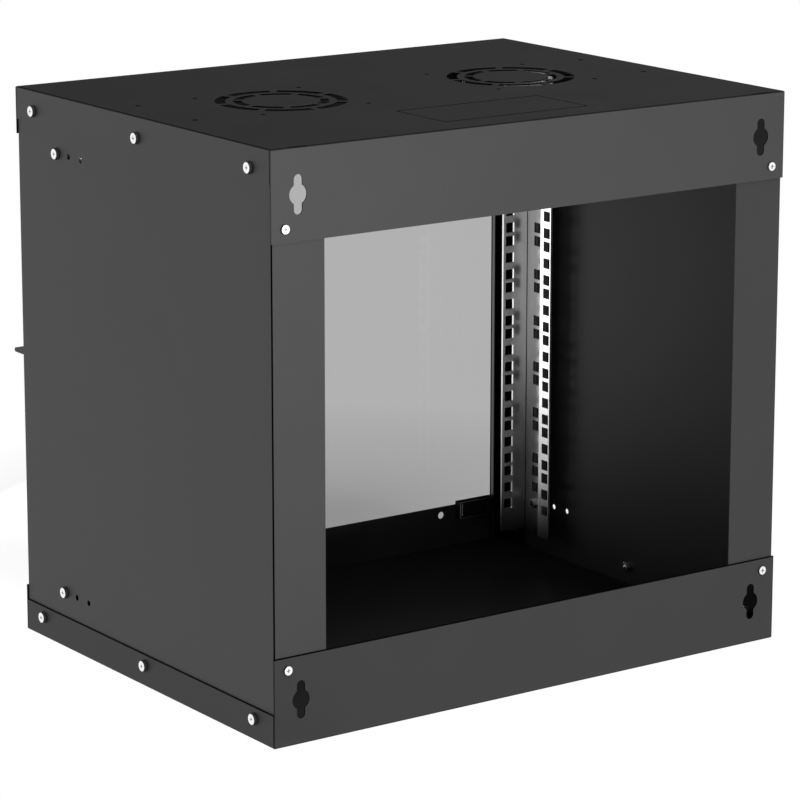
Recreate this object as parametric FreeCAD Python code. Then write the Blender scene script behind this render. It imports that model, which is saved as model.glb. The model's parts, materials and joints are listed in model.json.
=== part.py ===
import FreeCAD, Part
import math
import os

# Wall mount network cabinet, 9 rack units, in millimetres.
# X runs to the right seen from the glass door, Y runs from the door to the wall, Z is up.
# The origin is the middle of the underside of the base panel.

# Outer shell
width = 524.0
depth = 400.0
height = 487.0
tray_sheet = 1.0
side_sheet = 1.0
fold_radius = 0.4
side_flange = 28.2
rear_flange = 75.1
front_flange = 41.1
corner_seam = 0.7

# Folded edges of the side panels
rear_return = 49.9
front_return = 13.3
front_lip = 6.4
keyhole_relief_width = 22.0
keyhole_relief_length = 38.0

# Wall keyholes, seen from behind
keyhole_edge = 25.8
keyhole_level = 37.7
keyhole_round = 16.5
keyhole_slot = 8.0
keyhole_length = 32.0

# Fan cut-outs and their screw holes in the roof
fan_offset = 120.0
fan_hole_pitch = 105.0
fan_hole = 4.4
outer_slot_radius = 56.0
outer_slot_width = 9.0
inner_slot_radius = 40.5
inner_slot_width = 7.5
slot_count = 7
slot_bridge = 6.0
spare_roof_hole = 5.0
spare_roof_inset = 29.0
spare_roof_y = 45.0

# Cable entry knock-out
knockout_width = 146.0
knockout_depth = 69.5
knockout_edge = 30.7
knockout_slit = 0.9
knockout_tab = 4.0
knockout_corner = 4.0

# Rack rails
rack_unit = 44.45
rack_hole_steps = (6.35, 22.225, 38.1)
rack_hole = 9.5
rack_hole_spacing = 465.1
rack_opening = 450.0
rail_sheet = 2.0
rail_fold_radius = 0.8
rail_setback = 51.6
rail_web_gap = 5.1
rail_web_depth = 31.9
rail_step = 10.0
rail_strip_depth = 17.8
rail_strip_hole_inset = 11.8
rail_bolt_inset = 15.5
rail_end_gap = 21.8
spare_hole = 5.0
spare_pitch = 20.0

# Fasteners
screw_clearance = 0.15
thread_gap = 0.05
side_screw = 5.0
side_screw_head = 10.4
side_screw_head_height = 3.0
side_screw_spread = 170.3
side_screw_level = 18.1
side_nut_flats = 8.0
side_nut_height = 4.0
rear_screw = 4.0
rear_screw_head = 8.0
rear_screw_head_height = 2.4
rear_screw_edge = 13.25
rear_screw_level = 64.1
rear_nut_flats = 7.0
rear_nut_height = 3.2
spacer_diameter = 10.0
thread_end = 1.5
recess_width = 0.9
recess_share = 0.27
head_bevel = 0.4

# Glass door
glass_thickness = 4.0
glass_corner = 3.0
door_gap = 4.0
glass_overlap = 7.3
glass_end_gap = 14.0
front_hole = 6.8
front_hole_inset = 71.5
front_hole_level = 32.9

# Pivot hinges
hinge_sheet = 1.5
hinge_leg_top = 38.0
hinge_leg_length = 34.0
tongue_level = 3.2
tongue_sheet = 2.5
tongue_margin = 5.0
pin_diameter = 4.0
pin_edge = 3.0
pin_engagement = 6.0
pin_clearance = 0.05
washer_thickness = 0.5
washer_diameter = 8.5
clamp_length = 46.0
clamp_leg = 1.5
clamp_grip = 18.0
pad_thickness = 0.5
clamp_screw = 4.0
clamp_screw_inset = 11.0
block_length = 40.1
block_depth = 8.0
block_height = 16.3
block_level = 28.4
block_recess = 1.0
block_border = 2.6
running_gap = 0.3
hinge_screw = 4.0
hinge_screw_inset = 8.0
hinge_screw_drop = 2.0

# Lock and finger pull
lock_edge = 17.5
lock_drop = 21.0
lock_plate_edge = 4.5
lock_plate_width = 26.0
lock_plate_height = 64.0
lock_plate_thickness = 7.0
lock_plate_corner = 6.0
lock_body = 16.0
lock_core = 11.0
lock_core_clearance = 0.1
lock_nut = 22.0
lock_nut_height = 2.6
cam_length = 18.0
cam_width = 12.0
cam_sheet = 2.0
cam_gap = 0.5
cam_screw = 4.0
cam_screw_head = 8.0
cam_screw_head_height = 2.5
cam_screw_length = 9.0
cam_thread = 8.0
key_slot_length = 6.5
key_slot_width = 1.2
key_slot_depth = 5.0
pull_width = 22.0
pull_edge = 1.0
pull_root = 8.5
pull_tip = 4.0
pull_reach = 19.6
pull_rise = 1.4
bumper_diameter = 9.0
bumper_inset = 36.0

# Places that follow from the sizes above
half_width = width / 2
half_depth = depth / 2
panel_outer = half_width - tray_sheet
panel_inner = panel_outer - side_sheet
front_face = -half_depth
lip_inner = panel_outer - front_return
lip_rear = front_face + tray_sheet + front_lip
rear_opening_x = panel_outer - rear_return
keyhole_x = half_width - keyhole_edge
rear_screw_x = half_width - rear_screw_edge
spare_roof_x = half_width - spare_roof_inset
front_hole_x = half_width - front_hole_inset
rail_face = front_face + rail_setback
web_outer = panel_inner - rail_web_gap
web_inner = web_outer - rail_sheet
strip_inner = web_inner - rail_step
rail_bottom = tray_sheet + rail_end_gap
rack_units = int((height - 2 * front_flange) / rack_unit)
rack_start = height / 2 - rack_units * rack_unit / 2
rail_bolt_y = rail_face + rail_bolt_inset
rail_bolt_z = rack_start + rack_hole_steps[0]
glass_rear = front_face - door_gap
glass_front = glass_rear - glass_thickness
glass_middle = (glass_rear + glass_front) / 2
glass_half = lip_inner + glass_overlap
pin_x = -(glass_half - pin_edge)
washer_level = tongue_level + tongue_sheet
clamp_level = washer_level + washer_thickness
clamp_half = glass_thickness / 2 + pad_thickness + clamp_leg
lock_x = glass_half - lock_edge
pull_z = height / 2
lock_z = pull_z - lock_drop
cam_front = lip_rear + cam_gap
bumper_x = lip_inner - bumper_inset


def vec(x, y, z):
    return FreeCAD.Vector(x, y, z)


def box(low, high):
    """Box between two corners."""
    size = [b - a for a, b in zip(low, high)]
    return Part.makeBox(size[0], size[1], size[2], vec(*low))


def rod(diameter, start, end):
    """Round bar between two points."""
    axis = vec(*end) - vec(*start)
    return Part.makeCylinder(diameter / 2, axis.Length, vec(*start), axis)


def place(shape, point, axis):
    """Copy of a shape made along +Z, set at a point and turned to an axis."""
    moved = shape.copy()
    moved.Placement = FreeCAD.Placement(vec(*point), FreeCAD.Rotation(vec(0, 0, 1), vec(*axis)))
    return moved


def flip_side(shape):
    """The same piece on the other side of the cabinet."""
    return shape.mirror(vec(0, 0, 0), vec(1, 0, 0))


def flip_height(shape):
    """The same piece at the other end of the cabinet's height."""
    return shape.mirror(vec(0, 0, height / 2), vec(0, 0, 1))


def group(solids):
    return Part.makeCompound(solids)


def rounded_plate(low, high, radius):
    """Plate that lies across Y, with its four corners rounded."""
    plate = box(low, high)
    corners = []
    for edge in plate.Edges:
        first, last = edge.Vertexes[0].Point, edge.Vertexes[-1].Point
        if abs(first.y - last.y) > 1e-6:
            corners.append(edge)
    return plate.makeFillet(radius, corners)


def folded_sheet(path, sheet, inner_radius, low, high):
    """Upright folded strip whose middle line follows the path, with a round bend at each fold."""
    points = [vec(x, y, low) for x, y in path]
    runs = [(b - a).normalize() for a, b in zip(points, points[1:])]
    bend = inner_radius + sheet / 2
    sides = {1: [], -1: []}
    ends = {1: [], -1: []}
    for i, run in enumerate(runs):
        normal = vec(-run.y, run.x, 0)
        start, stop = points[i], points[i + 1]
        if i > 0:
            start = start + run * trim
        if i < len(runs) - 1:
            following = runs[i + 1]
            turn = math.atan2(run.cross(following).z, run.dot(following))
            trim = bend * math.tan(abs(turn) / 2)
            stop = stop - run * trim
        for side in sides:
            offset = normal * (side * sheet / 2)
            if i > 0:
                radius = bend - side * last_sign * sheet / 2
                middle = last_centre + last_outward * radius
                sides[side].append(Part.Arc(ends[side][-1], middle, start + offset).toShape())
            sides[side].append(Part.LineSegment(start + offset, stop + offset).toShape())
            ends[side] += [start + offset, stop + offset]
        if i < len(runs) - 1:
            last_sign = math.copysign(1, turn)
            last_centre = stop + normal * (last_sign * bend)
            last_outward = (points[i + 1] - last_centre).normalize()
    caps = [
        Part.LineSegment(ends[1][0], ends[-1][0]).toShape(),
        Part.LineSegment(ends[1][-1], ends[-1][-1]).toShape(),
    ]
    wire = Part.Wire(Part.__sortEdges__(sides[1] + sides[-1] + caps))
    return Part.Face(wire).extrude(vec(0, 0, high - low))


def pan_screw(diameter, head, head_height, length):
    """Flat pan head above z = 0 with a bevelled rim and a cross recess, and a shank below it."""
    disc = Part.makeCylinder(head / 2, head_height)
    cap = disc.makeChamfer(head_bevel, [e for e in disc.Edges if e.BoundBox.ZMin > head_height / 2])
    reach = head * recess_share
    half = recess_width / 2
    level = head_height / 2
    long_bar = box((-reach, -half, level), (reach, half, head_height))
    cross_bar = box((-half, -reach, level), (half, reach, head_height))
    shank = rod(diameter, (0, 0, -length), (0, 0, 0))
    return cap.cut([long_bar, cross_bar]).fuse(shank).removeSplitter()


def hex_nut(flats, bore, nut_height):
    """Nut that stands on z = 0."""
    radius = flats / math.sqrt(3)
    corners = [vec(radius * math.cos(a), radius * math.sin(a), 0) for a in
               [math.radians(60 * i) for i in range(7)]]
    prism = Part.Face(Part.makePolygon(corners)).extrude(vec(0, 0, nut_height))
    return prism.cut(rod(bore, (0, 0, 0), (0, 0, nut_height)))


def keyhole(x, z, near, far):
    """Round hole with a slot above and below it, cut along Y."""
    half = keyhole_slot / 2
    end = keyhole_length / 2 - half
    parts = [rod(keyhole_round, (x, near, z), (x, far, z))]
    parts.append(box((x - half, near, z - end), (x + half, far, z + end)))
    parts += [rod(keyhole_slot, (x, near, z + s * end), (x, far, z + s * end)) for s in (-1, 1)]
    return parts


def tray_blank():
    """Base tray before its holes: floor and four upright flanges with open corner seams."""
    outer = box((-half_width, front_face, 0), (half_width, half_depth, rear_flange))
    inner = box((-panel_outer, front_face + tray_sheet, tray_sheet),
                (panel_outer, half_depth - tray_sheet, rear_flange))
    outer = outer.makeFillet(fold_radius + tray_sheet, [e for e in outer.Edges if e.BoundBox.ZMax < 1e-6])
    inner = inner.makeFillet(fold_radius, [e for e in inner.Edges if e.BoundBox.ZMax < tray_sheet + 1e-6])
    tray = outer.cut(inner)
    spare = 1.0
    rear_inside = half_depth - tray_sheet
    front_inside = front_face + tray_sheet
    cuts = [box((-half_width - spare, front_face - spare, front_flange),
                (half_width + spare, rear_inside, rear_flange + spare))]
    seam_low = tray_sheet + fold_radius
    for side in (-1, 1):
        edges = sorted((side * (panel_outer - fold_radius), side * (half_width + spare)))
        cuts.append(box((edges[0], front_inside, side_flange), (edges[1], rear_inside, front_flange + spare)))
        cuts.append(box((edges[0], front_inside, seam_low), (edges[1], front_inside + corner_seam, front_flange)))
        cuts.append(box((edges[0], rear_inside - corner_seam, seam_low), (edges[1], rear_inside, front_flange)))
    return tray.cut(cuts)


def tray_holes():
    """Holes that the base and the roof share."""
    near, far = half_depth - 2 * tray_sheet, half_depth + tray_sheet
    cuts = []
    for side in (-1, 1):
        cuts += keyhole(side * keyhole_x, keyhole_level, near, far)
        cuts.append(rod(rear_screw + 2 * screw_clearance, (side * rear_screw_x, near, rear_screw_level),
                        (side * rear_screw_x, far, rear_screw_level)))
        for step in (-1, 0, 1):
            y = step * side_screw_spread
            cuts.append(rod(side_screw + 2 * screw_clearance, (side * (panel_outer - tray_sheet), y, side_screw_level),
                            (side * (half_width + tray_sheet), y, side_screw_level)))
        x = side * front_hole_x
        cuts.append(rod(front_hole, (x, front_face - tray_sheet, front_hole_level),
                        (x, front_face + 2 * tray_sheet, front_hole_level)))
    for x in hinge_screw_places():
        cuts.append(rod(hinge_screw + 2 * screw_clearance, (x, front_face - tray_sheet, hinge_screw_level()),
                        (x, front_face + 2 * tray_sheet, hinge_screw_level())))
    return cuts + knockout_slits()


def knockout_slits():
    """Thin slit round the cable entry, broken by tabs that hold the plate in."""
    y_far = half_depth - knockout_edge
    y_near = y_far - knockout_depth
    low, high = -tray_sheet, 2 * tray_sheet
    half = knockout_width / 2

    def rounded(inset):
        plate = box((-half + inset, y_near + inset, low), (half - inset, y_far - inset, high))
        upright = [e for e in plate.Edges if e.BoundBox.ZLength > 1e-6]
        return plate.makeFillet(knockout_corner - inset, upright)

    frame = rounded(0).cut(rounded(knockout_slit))
    tabs = []
    for x in (-half / 2, half / 2):
        tabs.append(box((x - knockout_tab / 2, y_near - 1, low), (x + knockout_tab / 2, y_far + 1, high)))
    middle = (y_near + y_far) / 2
    tabs.append(box((-half - 1, middle - knockout_tab / 2, low), (half + 1, middle + knockout_tab / 2, high)))
    return frame.cut(tabs).Solids


def slot_ring(x, radius, slot_width, first_angle):
    """Ring of arc slots in the roof round a fan's axis."""
    low, high = height - 2 * tray_sheet, height + tray_sheet
    ring = rod(2 * radius, (x, 0, low), (x, 0, high)).cut(rod(2 * (radius - slot_width), (x, 0, low), (x, 0, high)))
    bars = []
    for i in range(slot_count):
        bar = box((0, -slot_bridge / 2, low), (radius + 1, slot_bridge / 2, high))
        bar.rotate(vec(0, 0, 0), vec(0, 0, 1), first_angle + i * 360 / slot_count)
        bar.translate(vec(x, 0, 0))
        bars.append(bar)
    return ring.cut(bars).Solids


def fan_cuts(x):
    """Two staggered slot rings and four screw holes for one fan."""
    cuts = slot_ring(x, inner_slot_radius, inner_slot_width, -90)
    cuts += slot_ring(x, outer_slot_radius, outer_slot_width, -90 + 180 / slot_count)
    low, high = height - 2 * tray_sheet, height + tray_sheet
    for dx in (-fan_hole_pitch / 2, fan_hole_pitch / 2):
        for y in (-fan_hole_pitch / 2, fan_hole_pitch / 2):
            cuts.append(rod(fan_hole, (x + dx, y, low), (x + dx, y, high)))
    return cuts


def base_panel():
    return tray_blank().cut(tray_holes())


def roof_panel():
    roof = flip_height(base_panel())
    low, high = height - 2 * tray_sheet, height + tray_sheet
    cuts = fan_cuts(fan_offset) + fan_cuts(-fan_offset)
    for x in (-spare_roof_x, spare_roof_x):
        for y in (-spare_roof_y, spare_roof_y):
            cuts.append(rod(spare_roof_hole, (x, y, low), (x, y, high)))
    return roof.cut(cuts)


def side_panel():
    """Right panel: wall, wide fold at the wall side, narrow fold with a lip at the door side."""
    half = side_sheet / 2
    x = panel_outer - half
    rear = half_depth - tray_sheet - half
    front = front_face + tray_sheet + half
    path = [(rear_opening_x, rear), (x, rear), (x, front), (lip_inner + half, front), (lip_inner + half, lip_rear)]
    foot = tray_sheet + fold_radius
    panel = folded_sheet(path, side_sheet, fold_radius, foot, height - foot)
    cuts = []
    for level in (side_screw_level, height - side_screw_level):
        for step in (-1, 0, 1):
            y = step * side_screw_spread
            cuts.append(rod(side_screw + 2 * screw_clearance, (panel_inner - 1, y, level), (half_width, y, level)))
    for level in (rail_bolt_z, height - rail_bolt_z):
        bolt = side_screw + 2 * screw_clearance
        cuts.append(rod(bolt, (panel_inner - 1, rail_bolt_y, level), (half_width, rail_bolt_y, level)))
        for i in (1, 2):
            y = rail_bolt_y + i * spare_pitch
            cuts.append(rod(spare_hole, (panel_inner - 1, y, level), (half_width, y, level)))
    inside, outside = rear - side_sheet, half_depth
    for level in (rear_screw_level, height - rear_screw_level):
        cuts.append(rod(rear_screw + 2 * screw_clearance, (rear_screw_x, inside, level), (rear_screw_x, outside, level)))
    relief = keyhole_relief_width / 2
    reach = keyhole_relief_length / 2 - relief
    for level in (keyhole_level, height - keyhole_level):
        cuts.append(box((keyhole_x - relief, inside, level - reach), (keyhole_x + relief, outside, level + reach)))
        for end in (level - reach, level + reach):
            cuts.append(rod(keyhole_relief_width, (keyhole_x, inside, end), (keyhole_x, outside, end)))
    return panel.cut(cuts)


def rail():
    """Right rack rail: mounting flange, web with paired holes, and a stepped strip with a full row."""
    half = rail_sheet / 2
    step_y = rail_face + rail_web_depth
    path = [
        (rack_opening / 2, rail_face - half),
        (web_inner + half, rail_face - half),
        (web_inner + half, step_y),
        (strip_inner + half, step_y),
        (strip_inner + half, step_y - half + rail_strip_depth),
    ]
    bar = folded_sheet(path, rail_sheet, rail_fold_radius, rail_bottom, height - rail_bottom)
    reach = rack_hole / 2
    hole_x = rack_hole_spacing / 2
    strip_y = step_y - half + rail_strip_hole_inset
    cuts = []
    for unit in range(rack_units):
        for index, step in enumerate(rack_hole_steps):
            z = rack_start + unit * rack_unit + step
            low, high = z - reach, z + reach
            cuts.append(box((hole_x - reach, rail_face - 2 * rail_sheet, low), (hole_x + reach, rail_face + half, high)))
            cuts.append(box((strip_inner - 1, strip_y - reach, low), (strip_inner + rail_sheet + 1, strip_y + reach, high)))
            end_hole = (unit, index) in ((0, 0), (rack_units - 1, 2))
            inner_middle = index == 1 and 0 < unit < rack_units - 1
            if not end_hole and not inner_middle:
                cuts.append(box((web_inner - 1, rail_bolt_y - reach, low), (web_outer + 1, rail_bolt_y + reach, high)))
    for level in (rail_bolt_z, height - rail_bolt_z):
        cuts.append(rod(side_screw + 2 * screw_clearance, (web_inner - 1, rail_bolt_y, level),
                        (web_outer + 1, rail_bolt_y, level)))
    return bar.cut(cuts)


def side_screw_places():
    levels = (side_screw_level, height - side_screw_level)
    return [(step * side_screw_spread, level) for level in levels for step in (-1, 0, 1)]


def side_screws():
    length = tray_sheet + side_sheet + side_nut_height + thread_end
    screw = pan_screw(side_screw, side_screw_head, side_screw_head_height, length)
    return group([place(screw, (half_width, y, z), (1, 0, 0)) for y, z in side_screw_places()])


def side_nuts():
    nut = hex_nut(side_nut_flats, side_screw + 2 * thread_gap, side_nut_height)
    return group([place(nut, (panel_inner, y, z), (-1, 0, 0)) for y, z in side_screw_places()])


def rear_screws():
    length = tray_sheet + side_sheet + rear_nut_height + thread_end
    screw = pan_screw(rear_screw, rear_screw_head, rear_screw_head_height, length)
    return group([place(screw, (x, half_depth, z), (0, 1, 0)) for x, z in rear_screw_places()])


def rear_screw_places():
    levels = (rear_screw_level, height - rear_screw_level)
    return [(x, z) for z in levels for x in (-rear_screw_x, rear_screw_x)]


def rear_nuts():
    nut = hex_nut(rear_nut_flats, rear_screw + 2 * thread_gap, rear_nut_height)
    y = half_depth - tray_sheet - side_sheet
    return group([place(nut, (x, y, z), (0, -1, 0)) for x, z in rear_screw_places()])


def rail_bolt_places():
    return [(side, z) for side in (-1, 1) for z in (rail_bolt_z, height - rail_bolt_z)]


def rail_bolts():
    length = side_sheet + rail_web_gap + rail_sheet + side_nut_height + thread_end
    bolt = pan_screw(side_screw, side_screw_head, side_screw_head_height, length)
    return group([place(bolt, (s * panel_outer, rail_bolt_y, z), (s, 0, 0)) for s, z in rail_bolt_places()])


def rail_spacers():
    ring = rod(spacer_diameter, (0, 0, 0), (0, 0, rail_web_gap))
    ring = ring.cut(rod(side_screw + 2 * screw_clearance, (0, 0, 0), (0, 0, rail_web_gap)))
    return group([place(ring, (s * panel_inner, rail_bolt_y, z), (-s, 0, 0)) for s, z in rail_bolt_places()])


def rail_nuts():
    nut = hex_nut(side_nut_flats, side_screw + 2 * thread_gap, side_nut_height)
    return group([place(nut, (s * web_inner, rail_bolt_y, z), (-s, 0, 0)) for s, z in rail_bolt_places()])


def door_glass():
    pane = rounded_plate((-glass_half, glass_front, glass_end_gap),
                         (glass_half, glass_rear, height - glass_end_gap), glass_corner)
    hole = rod(lock_body + 2 * pad_thickness, (lock_x, glass_front - 1, lock_z), (lock_x, glass_rear + 1, lock_z))
    return pane.cut(hole)


def hinge_screw_places():
    """X of the two screws that hold the lower and the upper hinge plate."""
    start = -(lip_inner - running_gap)
    return (start + 2 * hinge_screw_inset, start + block_length - hinge_screw_inset)


def hinge_screw_level():
    return block_level + block_height / 2 - hinge_screw_drop


def hinge_block():
    """Lower hinge block behind the front flange of the base."""
    near = front_face + tray_sheet
    far = near + block_depth
    low = -(lip_inner - running_gap)
    high = low + block_length
    block = box((low, near, block_level), (high, far, block_level + block_height))
    recess = box((low + block_border, far - block_recess, block_level + block_border),
                 (high - block_border, far, block_level + block_height - block_border))
    bores = [rod(hinge_screw + 2 * thread_gap, (x, near, hinge_screw_level()), (x, far, hinge_screw_level()))
             for x in hinge_screw_places()]
    return block.cut([recess] + bores)


def hinge_plate():
    """Lower hinge plate: a leg on the front flange and a tongue under the glass that holds the pin."""
    high = -(lip_inner - running_gap) + block_length
    low = high - hinge_leg_length
    leg = box((low, front_face - hinge_sheet, tongue_level), (high, front_face, hinge_leg_top))
    tongue = box((pin_x - tongue_margin, glass_middle - tongue_margin, tongue_level),
                 (high, front_face, tongue_level + tongue_sheet))
    holes = [rod(hinge_screw + 2 * screw_clearance, (x, front_face - 2 * hinge_sheet, hinge_screw_level()),
                 (x, front_face + 1, hinge_screw_level())) for x in hinge_screw_places()]
    holes.append(rod(pin_diameter + 2 * thread_gap, (pin_x, glass_middle, tongue_level - 1),
                     (pin_x, glass_middle, tongue_level + tongue_sheet + 1)))
    return leg.fuse(tongue).removeSplitter().cut(holes)


def hinge_pin():
    return rod(pin_diameter, (pin_x, glass_middle, tongue_level),
               (pin_x, glass_middle, clamp_level + pin_engagement))


def hinge_washer():
    low, high = (pin_x, glass_middle, washer_level), (pin_x, glass_middle, clamp_level)
    bore = rod(pin_diameter + 2 * pin_clearance, low, high)
    return rod(washer_diameter, low, high).cut(bore)


def hinge_clamp():
    """Lower clamp: a bar under the glass with the pin's bore, and two legs that grip the glass."""
    start = -glass_half
    body = box((start, glass_middle - clamp_half, clamp_level),
               (start + clamp_length, glass_middle + clamp_half, glass_end_gap + clamp_grip))
    half_slot = glass_thickness / 2 + pad_thickness
    slot = box((start - 1, glass_middle - half_slot, glass_end_gap),
               (start + clamp_length + 1, glass_middle + half_slot, glass_end_gap + clamp_grip + 1))
    depth_of_bore = pin_engagement + running_gap
    bore = rod(pin_diameter + 2 * pin_clearance, (pin_x, glass_middle, clamp_level - 1),
               (pin_x, glass_middle, clamp_level + depth_of_bore))
    level = glass_end_gap + clamp_grip / 2
    holes = [rod(clamp_screw + 2 * thread_gap, (x, glass_middle - clamp_half - 1, level),
                 (x, glass_middle - half_slot, level)) for x in clamp_screw_places()]
    return body.cut([slot, bore] + holes)


def clamp_screw_places():
    start = -glass_half
    return (start + clamp_screw_inset, start + clamp_length - clamp_screw_inset)


def clamp_pads():
    """Pads between the lower clamp's legs and the glass."""
    start = -glass_half
    low, high = glass_end_gap, glass_end_gap + clamp_grip
    front = box((start, glass_front - pad_thickness, low), (start + clamp_length, glass_front, high))
    rear = box((start, glass_rear, low), (start + clamp_length, glass_rear + pad_thickness, high))
    return [front, rear]


def clamp_screws():
    """Set screws in the lower clamp's front leg."""
    level = glass_end_gap + clamp_grip / 2
    face = glass_middle - clamp_half
    return [rod(clamp_screw, (x, face, level), (x, glass_front - pad_thickness, level)) for x in clamp_screw_places()]


def hinge_screws():
    """Screws through the lower hinge plate and the flange into the block."""
    length = hinge_sheet + tray_sheet + block_depth - 2 * block_recess
    screw = rod(hinge_screw, (0, 0, -length), (0, 0, 0))
    return [place(screw, (x, front_face - hinge_sheet, hinge_screw_level()), (0, -1, 0)) for x in hinge_screw_places()]


def both_ends(shapes):
    """Group of pieces at the lower and at the upper hinge."""
    return group(shapes + [flip_height(s) for s in shapes])


def lock_housing():
    """Lock case on the front of the glass, with its threaded body through the glass."""
    low_z = lock_z - (lock_plate_height - lock_drop) / 2
    high_z = low_z + lock_plate_height
    right = glass_half - lock_plate_edge
    plate = rounded_plate((right - lock_plate_width, glass_front - lock_plate_thickness, low_z),
                          (right, glass_front, high_z), lock_plate_corner)
    body = rod(lock_body, (lock_x, glass_front, lock_z), (lock_x, cam_front - 2 * cam_gap, lock_z))
    bore = rod(lock_core + 2 * lock_core_clearance, (lock_x, glass_front - lock_plate_thickness - 1, lock_z),
               (lock_x, cam_front, lock_z))
    return plate.fuse(body).removeSplitter().cut(bore)


def door_pull():
    """Finger pull: a wedge that stands out of the lock case, thick at its root."""
    root_y = glass_front - lock_plate_thickness
    tip_y = root_y - pull_reach
    right = glass_half - lock_plate_edge - pull_edge
    low = pull_z + pull_rise
    profile = [
        vec(right, root_y, low),
        vec(right, tip_y + pull_tip / 2, low),
        vec(right, tip_y, low + pull_tip / 2),
        vec(right, tip_y + pull_tip / 2, low + pull_tip),
        vec(right, root_y, low + pull_root),
    ]
    edges = [
        Part.LineSegment(profile[0], profile[1]).toShape(),
        Part.Arc(profile[1], profile[2], profile[3]).toShape(),
        Part.LineSegment(profile[3], profile[4]).toShape(),
        Part.LineSegment(profile[4], profile[0]).toShape(),
    ]
    return Part.Face(Part.Wire(edges)).extrude(vec(-pull_width, 0, 0))


def lock_nut_ring():
    """Flat ring nut behind the glass."""
    start, end = (lock_x, glass_rear, lock_z), (lock_x, glass_rear + lock_nut_height, lock_z)
    return rod(lock_nut, start, end).cut(rod(lock_body + 2 * thread_gap, start, end))


def lock_barrel():
    """Core of the lock with its key slot."""
    front = glass_front - lock_plate_thickness
    core = rod(lock_core, (lock_x, front, lock_z), (lock_x, cam_front, lock_z))
    half, reach = key_slot_width / 2, key_slot_length / 2
    slot = box((lock_x - half, front, lock_z - reach), (lock_x + half, front + key_slot_depth, lock_z + reach))
    hole = rod(cam_screw + 2 * thread_gap, (lock_x, cam_front - cam_thread, lock_z), (lock_x, cam_front, lock_z))
    return core.cut([slot, hole])


def lock_cam():
    """Cam that hangs down when the door is free to open and turns out behind the panel's lip."""
    half = cam_width / 2
    rear = cam_front + cam_sheet
    blade = box((lock_x - half, cam_front, lock_z - cam_length + half), (lock_x + half, rear, lock_z))
    eye = rod(cam_width, (lock_x, cam_front, lock_z), (lock_x, rear, lock_z))
    tip_z = lock_z - cam_length + half
    tip = rod(cam_width, (lock_x, cam_front, tip_z), (lock_x, rear, tip_z))
    hole = rod(cam_screw + 2 * thread_gap, (lock_x, cam_front, lock_z), (lock_x, rear, lock_z))
    return eye.fuse([blade, tip]).removeSplitter().cut(hole)


def cam_screw_piece():
    screw = pan_screw(cam_screw, cam_screw_head, cam_screw_head_height, cam_screw_length)
    return place(screw, (lock_x, cam_front + cam_sheet, lock_z), (0, 1, 0))


def door_bumpers():
    """Rubber stops on the front flanges that the closed glass rests on."""
    far = front_face
    near = glass_rear + running_gap
    return group([rod(bumper_diameter, (bumper_x, far, z), (bumper_x, near, z))
                  for z in (front_hole_level, height - front_hole_level)])


def nodes():
    """Every piece of the cabinet by name."""
    panel, bar = side_panel(), rail()
    screws, nuts = side_screws(), side_nuts()
    block, plate, pin = hinge_block(), hinge_plate(), hinge_pin()
    washer, clamp = hinge_washer(), hinge_clamp()
    return {
        "base_panel": base_panel(),
        "roof_panel": roof_panel(),
        "side_panel_right": panel,
        "side_panel_left": flip_side(panel),
        "rack_rail_right": bar,
        "rack_rail_left": flip_side(bar),
        "side_screws_right": screws,
        "side_screws_left": flip_side(screws),
        "side_nuts_right": nuts,
        "side_nuts_left": flip_side(nuts),
        "rear_screws": rear_screws(),
        "rear_nuts": rear_nuts(),
        "rail_bolts": rail_bolts(),
        "rail_spacers": rail_spacers(),
        "rail_nuts": rail_nuts(),
        "hinge_block_lower": block,
        "hinge_block_upper": flip_height(block),
        "hinge_plate_lower": plate,
        "hinge_plate_upper": flip_height(plate),
        "hinge_pin_lower": pin,
        "hinge_pin_upper": flip_height(pin),
        "hinge_washers": both_ends([washer]),
        "hinge_screws": both_ends(hinge_screws()),
        "hinge_clamp_lower": clamp,
        "hinge_clamp_upper": flip_height(clamp),
        "clamp_pads": both_ends(clamp_pads()),
        "clamp_screws": both_ends(clamp_screws()),
        "door_glass": door_glass(),
        "door_bumpers": door_bumpers(),
        "lock_housing": lock_housing(),
        "door_pull": door_pull(),
        "lock_nut": lock_nut_ring(),
        "lock_barrel": lock_barrel(),
        "lock_cam": lock_cam(),
        "cam_screw": cam_screw_piece(),
    }


os.makedirs("parts", exist_ok=True)
for name, shape in nodes().items():
    shape.exportStep("parts/" + name + ".step")
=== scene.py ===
import json
import math

import bmesh
import bpy
from mathutils import Matrix, Vector


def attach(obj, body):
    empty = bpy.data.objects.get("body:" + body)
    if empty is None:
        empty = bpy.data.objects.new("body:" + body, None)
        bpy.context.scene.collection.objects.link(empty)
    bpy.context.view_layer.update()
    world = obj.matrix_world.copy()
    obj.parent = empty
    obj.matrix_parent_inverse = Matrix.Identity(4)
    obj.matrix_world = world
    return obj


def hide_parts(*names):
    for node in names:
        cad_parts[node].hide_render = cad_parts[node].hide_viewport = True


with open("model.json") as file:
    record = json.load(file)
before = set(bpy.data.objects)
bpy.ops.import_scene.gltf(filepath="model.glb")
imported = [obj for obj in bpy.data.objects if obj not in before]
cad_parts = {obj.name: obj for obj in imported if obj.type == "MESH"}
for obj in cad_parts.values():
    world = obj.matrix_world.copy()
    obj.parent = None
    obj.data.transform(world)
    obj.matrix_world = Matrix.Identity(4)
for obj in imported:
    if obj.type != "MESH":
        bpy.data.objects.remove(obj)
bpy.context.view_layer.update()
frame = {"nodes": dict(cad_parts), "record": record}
nodes = frame["nodes"]

# Camera, found from the photograph's corners and holes
camera_place = Vector((1.76394, 2.50353, 0.95336))
camera_azimuth = 144.973
camera_elevation = 12.715
focal_pixels = 3609.1
picture_size = 800
axis_pixel = (389.6, 344.2)
sensor = 36.0
clip_start = 0.05
clip_end = 60

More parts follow.
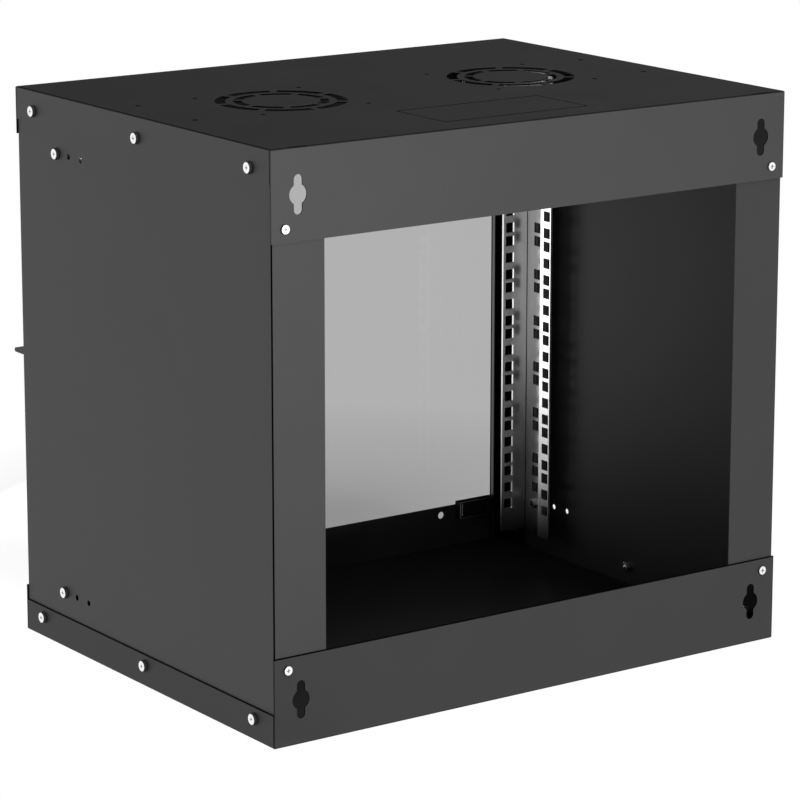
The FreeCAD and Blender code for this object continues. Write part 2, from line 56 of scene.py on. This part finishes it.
# Fastener places in millimetres, as in the CAD
top = 487.0
half_width = 262.0
half_depth = 200.0
rear_inside = 198.0
panel_outside = 261.0
panel_inside = 260.0
web_inside = 252.9
side_row = 170.3
side_level = 18.1
rear_column = 248.75
rear_level = 64.1
bolt_row = -132.9
bolt_level = 49.825

# Fasteners in millimetres; reach is half the length of the cross recess, and slot is its width
RECESS = {"reach": 1.8, "slot": 0.8}
SIDE_SCREW = {"head": 10.4, "face": 8.7, "height": 3.0, "thread": 5.0, "pitch": 0.8, **RECESS}
REAR_SCREW = {"head": 8.0, "face": 7.2, "height": 1.4, "thread": 4.0, "pitch": 0.7, **RECESS}
SIDE_NUT = {"flats": 8.0, "height": 4.0, "bore": 5.1}
REAR_NUT = {"flats": 7.0, "height": 3.2, "bore": 4.1}
side_screw_length = 7.5
rear_screw_length = 6.7
rail_bolt_length = 11.0

# Places of painted lines, painted shade and painted highlights, in metres; where there are two, they are a
# start and an end
mid_height = 0.2435
flange_outside = 0.2614
rear_seam = 0.1986
rear_flange_end = (0.0741, 0.0756)
side_flange_end = (0.0274, 0.0284)
roof_sheet = 0.4861
rear_sheet = 0.1979
keyhole_column = 0.2362
keyhole_reach = 0.00925
lip_edge = 0.24845
lip_front = -0.19615
lip_flat_front = -0.185
lip_flat_foot = 0.046
lip_corner = (0.2486, 0.26045)
lip_corner_front = -0.155
entry_middle = 0.13455
entry_half_width = 0.0726
entry_half_depth = 0.0343
entry_line_x = 0.0009
entry_line_y = 0.0015
roof_flange_front = -0.1955
rail_strip = 0.24335
rail_strip_front = -0.125
rail_foot = (0.02, 0.05)
block_end = -0.2073
block_levels = (0.0284, 0.0447)
block_back = -0.1922
block_end_line = 0.0008
block_edge_line = (0.0005, 0.0007)
block_edge_fade = (-0.236, -0.212)
block_side_fade = (0.035, 0.038)
block_hollow = 0.0029
block_hollow_rim = 0.0024
glass_band = 0.4355

# Colour of the coat and the blocks, and brightness against the plain surface of dark lines, painted shade
# and painted highlights
coat_level = 0.03
block_black = 0.016
# brightness of the painted highlight lines on the hinge blocks
block_highlight = 0.9
block_gloss = 0.06
glass_opacity = 0.34
# dark lines: painted shade in the walls of cuts and on the lip's round front, and dark upper ends of the
# flanges
dark_line = 0.05
# painted highlight on the flat of the side panels' lips, and painted shade in the corner behind them
lip_flat_highlight = 3.4
lip_corner_shade = 0.25
# painted shade along the cable entry's slit and on the inner side of the roof's front flange
entry_slit_shade = 0.55
roof_flange_shade = 0.25
# painted shade in the rails' open folds and near their foot, and a painted highlight on their strip
rail_fold_shade = 0.12
rail_strip_highlight = 1.7
rail_foot_shade = 0.3

# Light: an even part, and white for rays that only look
ambient = 0.16
background_level = 1.0
floor_half = 12.0
floor_drop = 0.0005
floor_shown_far = 1.0
floor_shown_near = 0.42
shadow_middle = (-0.2, -0.4, 0)
shadow_reach = 0.42


def make_camera():
    """Camera at the photograph's viewing angle."""
    data = bpy.data.cameras.new("photo_camera")
    data.sensor_width = sensor
    data.lens = sensor * focal_pixels / picture_size
    data.shift_x = (picture_size / 2 - axis_pixel[0]) / picture_size
    data.shift_y = (axis_pixel[1] - picture_size / 2) / picture_size
    data.clip_start = clip_start
    data.clip_end = clip_end
    camera = bpy.data.objects.new("photo_camera", data)
    bpy.context.scene.collection.objects.link(camera)
    a, e = math.radians(camera_azimuth), math.radians(camera_elevation)
    back = Vector((math.sin(a) * math.cos(e), -math.cos(a) * math.cos(e), math.sin(e)))
    camera.location = camera_place
    camera.rotation_mode = "QUATERNION"
    camera.rotation_quaternion = (-back).to_track_quat("-Z", "Y")
    bpy.context.scene.camera = camera


class Shader:
    """A procedural material with the object's own coordinates."""

    def __init__(self, name):
        self.material = bpy.data.materials.new(name)
        self.material.use_nodes = True
        self.tree = self.material.node_tree
        self.surface = self.tree.nodes["Principled BSDF"]
        self.place = self.node("ShaderNodeTexCoord").outputs["Object"]

    def node(self, kind, **settings):
        made = self.tree.nodes.new(kind)
        for key, value in settings.items():
            setattr(made, key, value)
        return made

    def link(self, output, target):
        self.tree.links.new(output, target)

    def set(self, **values):
        for key, value in values.items():
            self.surface.inputs[key.replace("_", " ")].default_value = value

    def parts(self, output):
        """The x, y and z parts of a vector."""
        split = self.node("ShaderNodeSeparateXYZ")
        self.link(output, split.inputs[0])
        return [split.outputs[axis] for axis in "XYZ"]

    def facing(self):
        """The x, y and z parts of the direction that the surface faces."""
        return self.parts(self.node("ShaderNodeNewGeometry").outputs["True Normal"])

    def noise(self, scale, detail, stretched=(1, 1, 1)):
        mapping = self.node("ShaderNodeMapping")
        self.link(self.place, mapping.inputs["Vector"])
        mapping.inputs["Scale"].default_value = stretched
        made = self.node("ShaderNodeTexNoise")
        self.link(mapping.outputs["Vector"], made.inputs["Vector"])
        made.inputs["Scale"].default_value = scale
        made.inputs["Detail"].default_value = detail
        return made.outputs["Fac"]

    def between(self, factor, low, high, start=0.3, stop=0.7):
        """Values from low to high as the factor goes from start to stop."""
        made = self.node("ShaderNodeMapRange")
        self.link(factor, made.inputs["Value"])
        made.inputs["From Min"].default_value = start
        made.inputs["From Max"].default_value = stop
        made.inputs["To Min"].default_value = low
        made.inputs["To Max"].default_value = high
        return made.outputs["Result"]

    def above(self, value, at, soft=0.0001):
        """0 below a value and 1 above it."""
        return self.between(value, 0.0, 1.0, at - soft, at + soft)

    def below(self, value, at, soft=0.0001):
        """1 below a value and 0 above it."""
        return self.between(value, 1.0, 0.0, at - soft, at + soft)

    def inside(self, value, low, high):
        """1 between two values and 0 outside them."""
        return self.both(self.above(value, low), self.below(value, high))

    def math(self, operation, *values):
        """A calculation with outputs and plain numbers."""
        made = self.node("ShaderNodeMath", operation=operation)
        for value, socket in zip(values, made.inputs):
            if isinstance(value, float):
                socket.default_value = value
            else:
                self.link(value, socket)
        return made.outputs[0]

    def both(self, *masks):
        """The product of two or more masks."""
        product = masks[0]
        for mask in masks[1:]:
            product = self.math("MULTIPLY", product, mask)
        return product

    def either(self, *masks):
        """The largest of two or more masks."""
        largest = masks[0]
        for mask in masks[1:]:
            largest = self.math("MAXIMUM", largest, mask)
        return largest

    def size(self, value):
        return self.math("ABSOLUTE", value)

    def away(self, value, place):
        """Distance of a value from a place."""
        return self.size(self.math("SUBTRACT", value, place))

    def shade(self, masks):
        """Brightness 1, and each mask's own level where that mask is 1."""
        return self.both(*[self.between(mask, 1.0, level, 0.0, 1.0) for mask, level in masks])

    def colours(self, factor, low, high, start=0.3, stop=0.7):
        ramp = self.node("ShaderNodeValToRGB")
        self.link(factor, ramp.inputs["Fac"])
        ramp.color_ramp.elements[0].position = start
        ramp.color_ramp.elements[1].position = stop
        ramp.color_ramp.elements[0].color = (*low, 1)
        ramp.color_ramp.elements[1].color = (*high, 1)
        return ramp.outputs["Color"]

    def scaled(self, colour, factor):
        made = self.node("ShaderNodeVectorMath", operation="SCALE")
        self.link(colour, made.inputs[0])
        self.link(factor, made.inputs["Scale"])
        return made.outputs[0]

    def bump(self, height, distance, strength):
        made = self.node("ShaderNodeBump")
        self.link(height, made.inputs["Height"])
        made.inputs["Distance"].default_value = distance
        made.inputs["Strength"].default_value = strength
        self.link(made.outputs["Normal"], self.surface.inputs["Normal"])

    def color(self, output):
        self.link(output, self.surface.inputs["Base Color"])

    def rough(self, output):
        self.link(output, self.surface.inputs["Roughness"])

    def gloss(self, output, plain):
        """Specular level from an output, and a plain level for an export that drops it."""
        self.link(output, self.surface.inputs["Specular IOR Level"])
        self.set(Specular_IOR_Level=plain)


def grey(level):
    return (level, level, level)


def bend_mask(s, facing):
    """0 on the flat faces and 1 on the bends between them."""
    largest = s.either(*[s.size(part) for part in facing])
    return s.between(largest, 1.0, 0.0, 0.93, 0.995)


def edge_on(s, part):
    """0 where the surface faces along an axis, and 1 where it stands across it."""
    return s.below(s.size(part), 0.5, 0.1)


def cut_walls(s, facing):
    """1 on the walls of the slots in the roof sheet and of the keyholes in the rear flanges, which take
    painted shade.
    """
    x, y, z = s.parts(s.place)
    slots = s.both(s.above(z, roof_sheet), edge_on(s, facing[2]))
    beside = s.below(s.away(s.size(x), keyhole_column), keyhole_reach, 0.00025)
    keyholes = s.both(beside, s.above(y, rear_sheet), edge_on(s, facing[1]))
    return s.either(slots, keyholes)


def tray_lines(s):
    """1 on the upright corner seams of a tray, and 1 on the upper ends of its flanges."""
    x, y, z = s.parts(s.place)
    side = s.above(s.size(x), flange_outside)
    seam = s.both(side, s.above(y, rear_seam))
    rear_end = s.inside(z, *rear_flange_end)
    side_end = s.both(side, s.inside(z, *side_flange_end))
    return seam, s.either(rear_end, side_end)


def lip_lines(s, facing):
    """Painted shade on the round front end of a side panel's lip, a painted highlight on the flat of the
    lip, and painted shade in the corner behind it.
    """
    x, y, z = s.parts(s.place)
    beside = s.size(x)
    lip = s.below(beside, lip_edge, 0.00005)
    front = s.both(lip, s.below(y, lip_front, 0.00015))
    flat = s.both(lip, s.below(y, lip_flat_front, 0.005), s.above(z, lip_flat_foot))
    behind = s.both(s.above(beside, lip_corner[0]), s.below(beside, lip_corner[1], 0.00005))
    corner = s.both(behind, s.below(y, lip_corner_front, 0.005), s.above(facing[1], -0.5))
    # painted shade on the lip's round front, a painted highlight on its flat, and painted shade in the
    # corner behind it
    return [(front, dark_line), (flat, lip_flat_highlight), (corner, lip_corner_shade)]


def roof_lines(s, facing):
    """Painted shade along the slit round the cable entry, and painted shade on the inner side of the roof's
    front flange.
    """
    x, y = s.parts(s.place)[:2]
    across = s.math("SUBTRACT", s.size(x), entry_half_width)
    along = s.math("SUBTRACT", s.away(y, entry_middle), entry_half_depth)
    ends = s.both(s.below(s.size(across), entry_line_x), s.below(along, entry_line_y))
    sides = s.both(s.below(s.size(along), entry_line_y), s.below(across, entry_line_x))
    flange = s.both(s.below(y, roof_flange_front, 0.0005), s.above(facing[1], 0.5))
    # painted shade round the slit and on the flange's inner side
    return [(s.either(ends, sides), entry_slit_shade), (flange, roof_flange_shade)]


def powder_coat(name, kind, gloss, top_gloss, bend_shade_and_seam):
    """Black powder coat: fine grain, faint cloudiness, dark seams and flange ends, painted shade on the
    bends, in cut walls and on the roof's slit and inner flange, and painted shade and a painted highlight
    on the side panels' lips.
    """
    s = Shader(name)
    facing = s.facing()
    bend = bend_mask(s, facing)
    # painted shade in the walls of the roof slots and of the keyholes
    lines = [(cut_walls(s, facing), dark_line)]
    if kind == "side":
        lines += lip_lines(s, facing)
    else:
        seam, flange_ends = tray_lines(s)
        bend = s.either(bend, seam)
        lines += roof_lines(s, facing) if kind == "roof" else [(flange_ends, dark_line)]
    # painted shade on the bends, dark seams, and the other painted shade, highlights and dark lines scale
    # the coat's colour and gloss
    painted_light_and_lines = s.shade(lines + [(bend, bend_shade_and_seam)])
    paint = s.colours(s.noise(14, 4), grey(coat_level * 0.94), grey(coat_level * 1.06))
    s.color(s.scaled(paint, painted_light_and_lines))
    s.gloss(s.both(s.between(facing[2], gloss, top_gloss), painted_light_and_lines), gloss)
    grain = s.between(s.noise(900, 2), 0.44, 0.52)
    s.rough(s.both(grain, s.between(facing[2], 1.0, 0.6)))
    s.bump(s.noise(1500, 2), 0.00003, 0.4)
    return s.material


def zinc_sheet():
    """Zinc-plated sheet, rolled along its height, with painted shade in its open folds and near the foot
    and a painted highlight on the rail's strip.
    """
    s = Shader("zinc_sheet")
    facing = s.facing()
    x, y, z = s.parts(s.place)
    # painted shade in the open folds, a painted highlight on the strip, and painted shade near the foot
    fold = s.both(bend_mask(s, facing), s.above(facing[1], 0.25, 0.05))
    strip = s.both(s.below(s.size(x), rail_strip, 0.00005), s.above(y, rail_strip_front))
    foot = s.between(z, rail_foot_shade, 1.0, *rail_foot)
    painted_light_and_lines = s.both(s.shade([(fold, rail_fold_shade), (strip, rail_strip_highlight)]), foot)
    plate = s.colours(s.noise(60, 3, (1, 1, 0.25)), grey(0.56), grey(0.6))
    s.set(Metallic=1.0)
    s.color(s.scaled(plate, painted_light_and_lines))
    s.rough(s.between(s.noise(300, 3, (1, 1, 0.05)), 0.27, 0.31))
    s.bump(s.noise(1200, 2, (1, 1, 0.03)), 0.000003, 0.15)
    return s.material


def bright_zinc(name, level, low_rough, high_rough):
    """Zinc plate on screws and nuts."""
    s = Shader(name)
    s.set(Metallic=1.0)
    s.color(s.colours(s.noise(500, 2), grey(level * 0.94), grey(min(level * 1.06, 1.0))))
    s.rough(s.between(s.noise(1200, 2), low_rough, high_rough))
    s.bump(s.noise(2500, 2), 0.000005, 0.3)
    return s.material


def black_metal(name, level, low_rough, high_rough):
    """Black paint on small parts, and black rubber."""
    s = Shader(name)
    s.color(s.colours(s.noise(120, 3), grey(level * 0.85), grey(level * 1.15)))
    s.rough(s.between(s.noise(700, 2), low_rough, high_rough))
    s.set(Specular_IOR_Level=0.3)
    s.bump(s.noise(1600, 2), 0.00002, 0.4)
    return s.material


def block_metal():
    """Black block with painted highlight lines along its edges and beside its hollow."""
    s = Shader("block_black")
    facing = s.facing()
    x, y, z = s.parts(s.place)
    level = s.math("SUBTRACT", mid_height, s.away(z, mid_height))
    from_end = s.math("SUBTRACT", block_end, x)
    from_edges = s.math("MINIMUM", s.math("SUBTRACT", level, block_levels[0]),
                        s.math("SUBTRACT", block_levels[1], level))
    end_line = s.below(from_end, block_end_line)
    edge_line = s.both(s.between(from_edges, 0.7, 0.0, *block_edge_line),
                       s.between(x, 0.3, 1.0, *block_edge_fade),
                       s.between(level, 0.4, 1.0, *block_side_fade))
    hollow_line = s.both(s.below(s.away(from_end, block_hollow), block_end_line),
                         s.above(from_edges, block_hollow_rim))
    inner_side = s.both(s.above(y, block_back), s.above(facing[1], 0.3))
    # painted highlights: light lines on the block's edges and beside its hollow, flecked by noise
    painted_highlight = s.both(s.either(end_line, edge_line, hollow_line), inner_side,
                  s.between(s.noise(350, 3), 0.7, 1.0))
    s.color(s.colours(painted_highlight, grey(block_black), grey(block_highlight), 0.0, 1.0))
    s.rough(s.between(s.noise(700, 2), 0.5, 0.6))
    s.gloss(s.between(facing[2], block_gloss, 0.0), block_gloss)
    s.bump(s.noise(1600, 2), 0.00002, 0.4)
    return s.material


def steel_pin():
    s = Shader("ground_steel")
    s.set(Metallic=1.0)
    s.color(s.colours(s.noise(400, 2), grey(0.5), grey(0.6)))
    s.rough(s.between(s.noise(2000, 2, (1, 1, 0.2)), 0.2, 0.35))
    return s.material


def nylon():
    s = Shader("nylon")
    s.color(s.colours(s.noise(300, 2), (0.72, 0.72, 0.69), (0.78, 0.78, 0.75)))
    s.rough(s.between(s.noise(900, 2), 0.4, 0.55))
    return s.material


def chrome():
    s = Shader("chrome_plate")
    s.set(Metallic=1.0)
    s.color(s.colours(s.noise(300, 2), grey(0.74), grey(0.8)))
    s.rough(s.between(s.noise(900, 2), 0.08, 0.16))
    return s.material


def smoked_glass():
    """Grey tinted glass with faint wipe marks and a black printed band along its top."""
    s = Shader("smoked_glass")
    level = s.parts(s.place)[2]
    s.color(s.colours(s.noise(4, 3), (0.02, 0.021, 0.022), (0.03, 0.031, 0.032)))
    s.rough(s.between(s.noise(30, 4, (1, 1, 0.3)), 0.0, 0.03))
    s.set(IOR=1.52)
    band = s.between(level, glass_opacity, 1.0, glass_band - 0.0001, glass_band + 0.0001)
    s.link(band, s.surface.inputs["Alpha"])
    return s.material


BLOCK = block_metal()
PANELS = {
    "hinge_block_lower": BLOCK,
    "hinge_block_upper": BLOCK,
    "roof_panel": powder_coat("roof_coat", "roof", gloss=0.43, top_gloss=0.0002, bend_shade_and_seam=0.5),
    "base_panel": powder_coat("base_coat", "base", gloss=0.28, top_gloss=0.0008, bend_shade_and_seam=0.3),
    "side_panel_right": powder_coat("side_coat", "side", gloss=0.42, top_gloss=0.42, bend_shade_and_seam=0.0),
    "side_panel_left": powder_coat("side_coat_left", "side", gloss=0.3, top_gloss=0.3, bend_shade_and_seam=0.0),
}
# Zinc plate on the fasteners: bright crowns, head flanks near black and cross recesses darker, both as
# painted shade
FACE_ZINC = bright_zinc("face_zinc", 0.92, 0.34, 0.42)
FLANK_SHADE_ZINC = bright_zinc("flank_shade_zinc", 0.05, 0.4, 0.5)
RECESS_SHADE_ZINC = bright_zinc("recess_shade_zinc", 0.6, 0.4, 0.5)
REAR_ZINC = bright_zinc("rear_zinc", 0.75, 0.4, 0.46)
REAR_RECESS_SHADE_ZINC = bright_zinc("rear_recess_shade_zinc", 0.25, 0.4, 0.5)
THREAD_ZINC = bright_zinc("thread_zinc", 0.5, 0.25, 0.35)
NUT_ZINC = bright_zinc("nut_zinc", 0.26, 0.28, 0.36)
SCREW_ZINCS = [FACE_ZINC, FLANK_SHADE_ZINC, RECESS_SHADE_ZINC, THREAD_ZINC]
REAR_SCREW_ZINCS = [REAR_ZINC, FLANK_SHADE_ZINC, REAR_RECESS_SHADE_ZINC, THREAD_ZINC]
NUT_ZINCS = [NUT_ZINC, FLANK_SHADE_ZINC]
MATERIALS = {
    "rail_zinc": zinc_sheet(),
    "screw_zinc": bright_zinc("bright_zinc", 0.86, 0.3, 0.4),
    "hinge_black": black_metal("black_paint", 0.02, 0.35, 0.5),
    "pin_steel": steel_pin(),
    "washer_nylon": nylon(),
    "door_glass": smoked_glass(),
    "rubber": black_metal("black_rubber", 0.025, 0.7, 0.85),
    "lock_black": black_metal("black_die_cast", 0.022, 0.3, 0.42),
    "lock_chrome": chrome(),
    "cam_zinc": zinc_sheet(),
}


def dress_nodes():
    """Each CAD node gets its own coat or the material of its slot."""
    for part in frame["record"]["subparts"]:
        shape = nodes[part["node"]]
        shape.data.materials.clear()
        shape.data.materials.append(PANELS.get(part["node"]) or MATERIALS[part["material_slot"]])


def stand(place, axis):
    """Matrix that puts a fastener at a place with its head towards axis; millimetres in, metres out."""
    turn = Vector(axis).to_track_quat("Z", "Y").to_matrix().to_4x4()
    return Matrix.Translation(Vector(place) * 0.001) @ turn @ Matrix.Scale(0.001, 4)


def circle(mesh, radius, z, count):
    turns = [math.tau * i / count for i in range(count)]
    return [mesh.verts.new((radius * math.cos(turn), radius * math.sin(turn), z)) for turn in turns]


def skin(mesh, lower, upper, material):
    """Faces between two rings with the same number of points."""
    for i in range(len(lower)):
        j = (i + 1) % len(lower)
        mesh.faces.new((lower[i], lower[j], upper[j], upper[i])).material_index = material


def add_thread(mesh, diameter, pitch, bottom):
    """Helical thread with a pointed crest, from the head down, closed below by a cone."""
    count = 16
    material = 3
    crest = diameter / 2
    root = crest - 0.54 * pitch
    turns = int(-bottom / pitch) - 1
    crests, roots = [], []
    for n in range(turns * count + 1):
        angle = math.tau * n / count
        z = -pitch * n / count
        crests.append(mesh.verts.new((math.cos(angle) * crest, math.sin(angle) * crest, z)))
        roots.append(mesh.verts.new((math.cos(angle) * root, math.sin(angle) * root, z - pitch / 2)))
    for n in range(turns * count):
        mesh.faces.new((crests[n], crests[n + 1], roots[n + 1], roots[n])).material_index = material
        below = n + count
        if below < turns * count:
            upper = (roots[n], roots[n + 1], crests[below + 1], crests[below])
            mesh.faces.new(upper).material_index = material
    tip = mesh.verts.new((0, 0, bottom))
    for n in range((turns - 1) * count, turns * count):
        mesh.faces.new((roots[n], roots[n + 1], tip)).material_index = material


def ring_edges(mesh, ring):
    """The edges along a closed ring of points, made where they are missing."""
    pairs = [(ring[i], ring[(i + 1) % len(ring)]) for i in range(len(ring))]
    return [mesh.edges.get(pair) or mesh.edges.new(pair) for pair in pairs]


def add_screw(mesh, place, axis, screw):
    """Pan head with a cross recess on a threaded shank."""
    start = len(mesh.verts)
    count = 48
    # the flank and recess faces take zinc copies darkened as painted shade
    crown, flank, recess = 0, 1, 2
    head, face, height = screw["head"] / 2, screw["face"] / 2, screw["height"]
    rounding = 0.25
    neck = circle(mesh, screw["thread"] / 2, 0, count)
    foot = circle(mesh, head, 0, count)
    waist = circle(mesh, head, height * 0.25, count)
    shoulder = circle(mesh, face + rounding, height - rounding, count)
    rim = circle(mesh, face + 0.08, height - 0.06, count)
    crown_ring = circle(mesh, face, height, count)
    skin(mesh, neck, foot, flank)
    skin(mesh, foot, waist, flank)
    skin(mesh, waist, shoulder, flank)
    skin(mesh, shoulder, rim, flank)
    skin(mesh, rim, crown_ring, crown)
    reach, half = screw["reach"], screw["slot"] / 2
    corners = [(reach, -half), (reach, half), (half, half), (half, reach),
               (-half, reach), (-half, half), (-reach, half), (-reach, -half),
               (-half, -half), (-half, -reach), (half, -reach), (half, -half)]
    outline = [mesh.verts.new((x, y, height)) for x, y in corners]
    floor = [mesh.verts.new((x * 0.7, y * 0.7, height * 0.4)) for x, y in corners]
    skin(mesh, floor, outline, recess)
    mesh.faces.new(floor).material_index = recess
    edges = ring_edges(mesh, crown_ring) + ring_edges(mesh, outline)
    made = bmesh.ops.triangle_fill(mesh, edges=edges, use_beauty=True, normal=(0, 0, 1))
    for part in made["geom"]:
        if isinstance(part, bmesh.types.BMFace):
            part.material_index = crown
    add_thread(mesh, screw["thread"] - 0.04, screw["pitch"], -screw["length"])
    mesh.verts.ensure_lookup_table()
    bmesh.ops.transform(mesh, matrix=stand(place, axis), verts=mesh.verts[start:])


def add_nut(mesh, place, axis, nut):
    """Hexagon nut with turned chamfers on both faces."""
    start = len(mesh.verts)
    count = 48
    outside, bore_wall = 0, 1
    inner, height, bore = nut["flats"] / 2, nut["height"], nut["bore"] / 2
    chamfer = 0.3
    flat = inner * 0.97
    rings = {}
    for key, z, sign in (("low", 0.0, 1), ("high", height, -1)):
        rings[key] = circle(mesh, flat, z, count)
        outer = []
        for i in range(count):
            angle = math.tau * i / count
            radius = inner / math.cos((angle % (math.tau / 6)) - math.tau / 12)
            drop = (radius - flat) * 0.5
            point = (radius * math.cos(angle), radius * math.sin(angle), z + sign * drop)
            outer.append(mesh.verts.new(point))
        rings[key + "_edge"] = outer
        rings[key + "_bore"] = circle(mesh, bore + chamfer, z, count)
        rings[key + "_throat"] = circle(mesh, bore, z + sign * chamfer, count)
    skin(mesh, rings["low_edge"], rings["high_edge"], outside)
    skin(mesh, rings["high_edge"], rings["high"], outside)
    skin(mesh, rings["high"], rings["high_bore"], outside)
    skin(mesh, rings["high_bore"], rings["high_throat"], bore_wall)
    skin(mesh, rings["high_throat"], rings["low_throat"], bore_wall)
    skin(mesh, rings["low_throat"], rings["low_bore"], bore_wall)
    skin(mesh, rings["low_bore"], rings["low"], outside)
    skin(mesh, rings["low"], rings["low_edge"], outside)
    mesh.verts.ensure_lookup_table()
    bmesh.ops.transform(mesh, matrix=stand(place, axis), verts=mesh.verts[start:])


def fastener_piece(name, node, adder, places, kind, materials):
    """One object with all the fasteners of a node, in place of that node."""
    mesh = bmesh.new()
    for place, axis in places:
        adder(mesh, place, axis, kind)
    bmesh.ops.recalc_face_normals(mesh, faces=mesh.faces)
    data = bpy.data.meshes.new(name)
    mesh.to_mesh(data)
    mesh.free()
    for material in materials:
        data.materials.append(material)
    piece = bpy.data.objects.new(name, data)
    bpy.context.scene.collection.objects.link(piece)
    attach(piece, "cabinet")
    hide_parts(node)


def make_screws(node, places, screw, length, materials):
    fastener_piece(node + "_threaded", node, add_screw, places, dict(screw, length=length), materials)


def make_nuts(node, places, nut):
    fastener_piece(node + "_chamfered", node, add_nut, places, nut, NUT_ZINCS)


def make_fasteners():
    rows = [(column * side_row, level) for level in (side_level, top - side_level) for column in (-1, 0, 1)]
    corners = [(x, z) for z in (rear_level, top - rear_level) for x in (-rear_column, rear_column)]
    bolts = [(side, z) for side in (-1, 1) for z in (bolt_level, top - bolt_level)]
    for name, side in (("right", 1), ("left", -1)):
        outer = [((side * half_width, y, z), (side, 0, 0)) for y, z in rows]
        inner = [((side * panel_inside, y, z), (-side, 0, 0)) for y, z in rows]
        make_screws("side_screws_" + name, outer, SIDE_SCREW, side_screw_length, SCREW_ZINCS)
        make_nuts("side_nuts_" + name, inner, SIDE_NUT)
    outer = [((x, half_depth, z), (0, 1, 0)) for x, z in corners]
    inner = [((x, rear_inside, z), (0, -1, 0)) for x, z in corners]
    make_screws("rear_screws", outer, REAR_SCREW, rear_screw_length, REAR_SCREW_ZINCS)
    make_nuts("rear_nuts", inner, REAR_NUT)
    outer = [((side * panel_outside, bolt_row, z), (side, 0, 0)) for side, z in bolts]
    inner = [((side * web_inside, bolt_row, z), (-side, 0, 0)) for side, z in bolts]
    make_screws("rail_bolts", outer, SIDE_SCREW, rail_bolt_length, SCREW_ZINCS)
    make_nuts("rail_nuts", inner, SIDE_NUT)


def seen_rays(tree):
    """1 for rays that look, mirror or pass through glass, and 0 for rays that light the object."""
    path = tree.nodes.new("ShaderNodeLightPath")
    seen = path.outputs["Is Camera Ray"]
    for name in ("Is Glossy Ray", "Is Transmission Ray"):
        larger = tree.nodes.new("ShaderNodeMath")
        larger.operation = "MAXIMUM"
        tree.links.new(seen, larger.inputs[0])
        tree.links.new(path.outputs[name], larger.inputs[1])
        seen = larger.outputs[0]
    return seen


def mixed(tree, factor, first, second):
    """Surface that goes from the first to the second as the factor goes from 0 to 1."""
    mix = tree.nodes.new("ShaderNodeMixShader")
    for output, socket in zip((factor, first, second), mix.inputs):
        tree.links.new(output, socket)
    return mix.outputs[0]


def make_world():
    """Dim even light, and plain white for rays that only look."""
    world = bpy.data.worlds.new("studio")
    world.use_nodes = True
    bpy.context.scene.world = world
    tree = world.node_tree
    ground = tree.nodes["Background"]
    ground.inputs["Color"].default_value = (1, 1, 1, 1)
    level = tree.nodes.new("ShaderNodeMapRange")
    tree.links.new(seen_rays(tree), level.inputs["Value"])
    level.inputs["To Min"].default_value = ambient
    level.inputs["To Max"].default_value = background_level
    tree.links.new(level.outputs["Result"], ground.inputs["Strength"])


def floor_material():
    """Shadowed floor under the object, which turns to plain white away from it."""
    material = bpy.data.materials.new("studio_floor")
    material.use_nodes = True
    tree = material.node_tree
    surface = tree.nodes["Principled BSDF"]
    surface.inputs["Base Color"].default_value = (0.96, 0.96, 0.96, 1)
    surface.inputs["Roughness"].default_value = 0.9
    surface.inputs["Specular IOR Level"].default_value = 0.1
    white = tree.nodes.new("ShaderNodeEmission")
    white.inputs["Strength"].default_value = background_level
    away = tree.nodes.new("ShaderNodeVectorMath")
    away.operation = "DISTANCE"
    tree.links.new(tree.nodes.new("ShaderNodeTexCoord").outputs["Object"], away.inputs[0])
    away.inputs[1].default_value = shadow_middle
    fade = tree.nodes.new("ShaderNodeMapRange")
    fade.inputs["From Max"].default_value = shadow_reach
    fade.inputs["To Min"].default_value = floor_shown_near
    fade.inputs["To Max"].default_value = floor_shown_far
    tree.links.new(away.outputs["Value"], fade.inputs["Value"])
    shown = mixed(tree, seen_rays(tree), surface.outputs[0], white.outputs[0])
    soft = mixed(tree, fade.outputs["Result"], surface.outputs[0], shown)
    tree.links.new(soft, tree.nodes["Material Output"].inputs["Surface"])
    return material


def make_floor():
    mesh = bpy.data.meshes.new("studio_floor")
    corners = [(x * floor_half, y * floor_half, 0) for x, y in ((-1, -1), (1, -1), (1, 1), (-1, 1))]
    mesh.from_pydata(corners, [], [(0, 1, 2, 3)])
    mesh.materials.append(floor_material())
    floor = bpy.data.objects.new("studio_floor", mesh)
    floor.location.z = -floor_drop
    bpy.context.scene.collection.objects.link(floor)


def area_light(name, place, target, size, power):
    data = bpy.data.lights.new(name, "AREA")
    data.shape = "RECTANGLE"
    data.size, data.size_y = size
    data.energy = power
    lamp = bpy.data.objects.new(name, data)
    bpy.context.scene.collection.objects.link(lamp)
    lamp.location = place
    lamp.rotation_mode = "QUATERNION"
    lamp.rotation_quaternion = (Vector(target) - Vector(place)).to_track_quat("-Z", "Y")
    lamp.visible_camera = False
    return lamp


def leave_out(lamp, shape):
    """The lamp doesn't light this shape, and isn't mirrored in it."""
    unlit = bpy.data.collections.new(lamp.name + "_leaves_out")
    unlit.objects.link(shape)
    unlit.collection_objects[0].light_linking.link_state = "EXCLUDE"
    lamp.light_linking.receiver_collection = unlit


def make_lights():
    area_light("rear_light", place=(-0.35, 2.1, 0.15), target=(0, 0.2, 0.3), size=(1.0, 0.28), power=14)
    area_light("side_light", place=(2.9, -0.9, 0.5), target=(0.26, 0, 0.24), size=(1.4, 0.9), power=5)
    front = area_light("front_light", place=(0.11, -0.6, 0.16), target=(-0.24, -0.1, 0.2),
                       size=(0.2, 0.3), power=0.75)
    leave_out(front, nodes["door_glass"])
    area_light("top_light", place=(-0.4, 0.9, 2.3), target=(0, 0, 0.3), size=(1.0, 1.0), power=30)


make_camera()
dress_nodes()
make_fasteners()
make_world()
make_floor()
make_lights()

bpy.context.scene.view_settings.view_transform = "Standard"
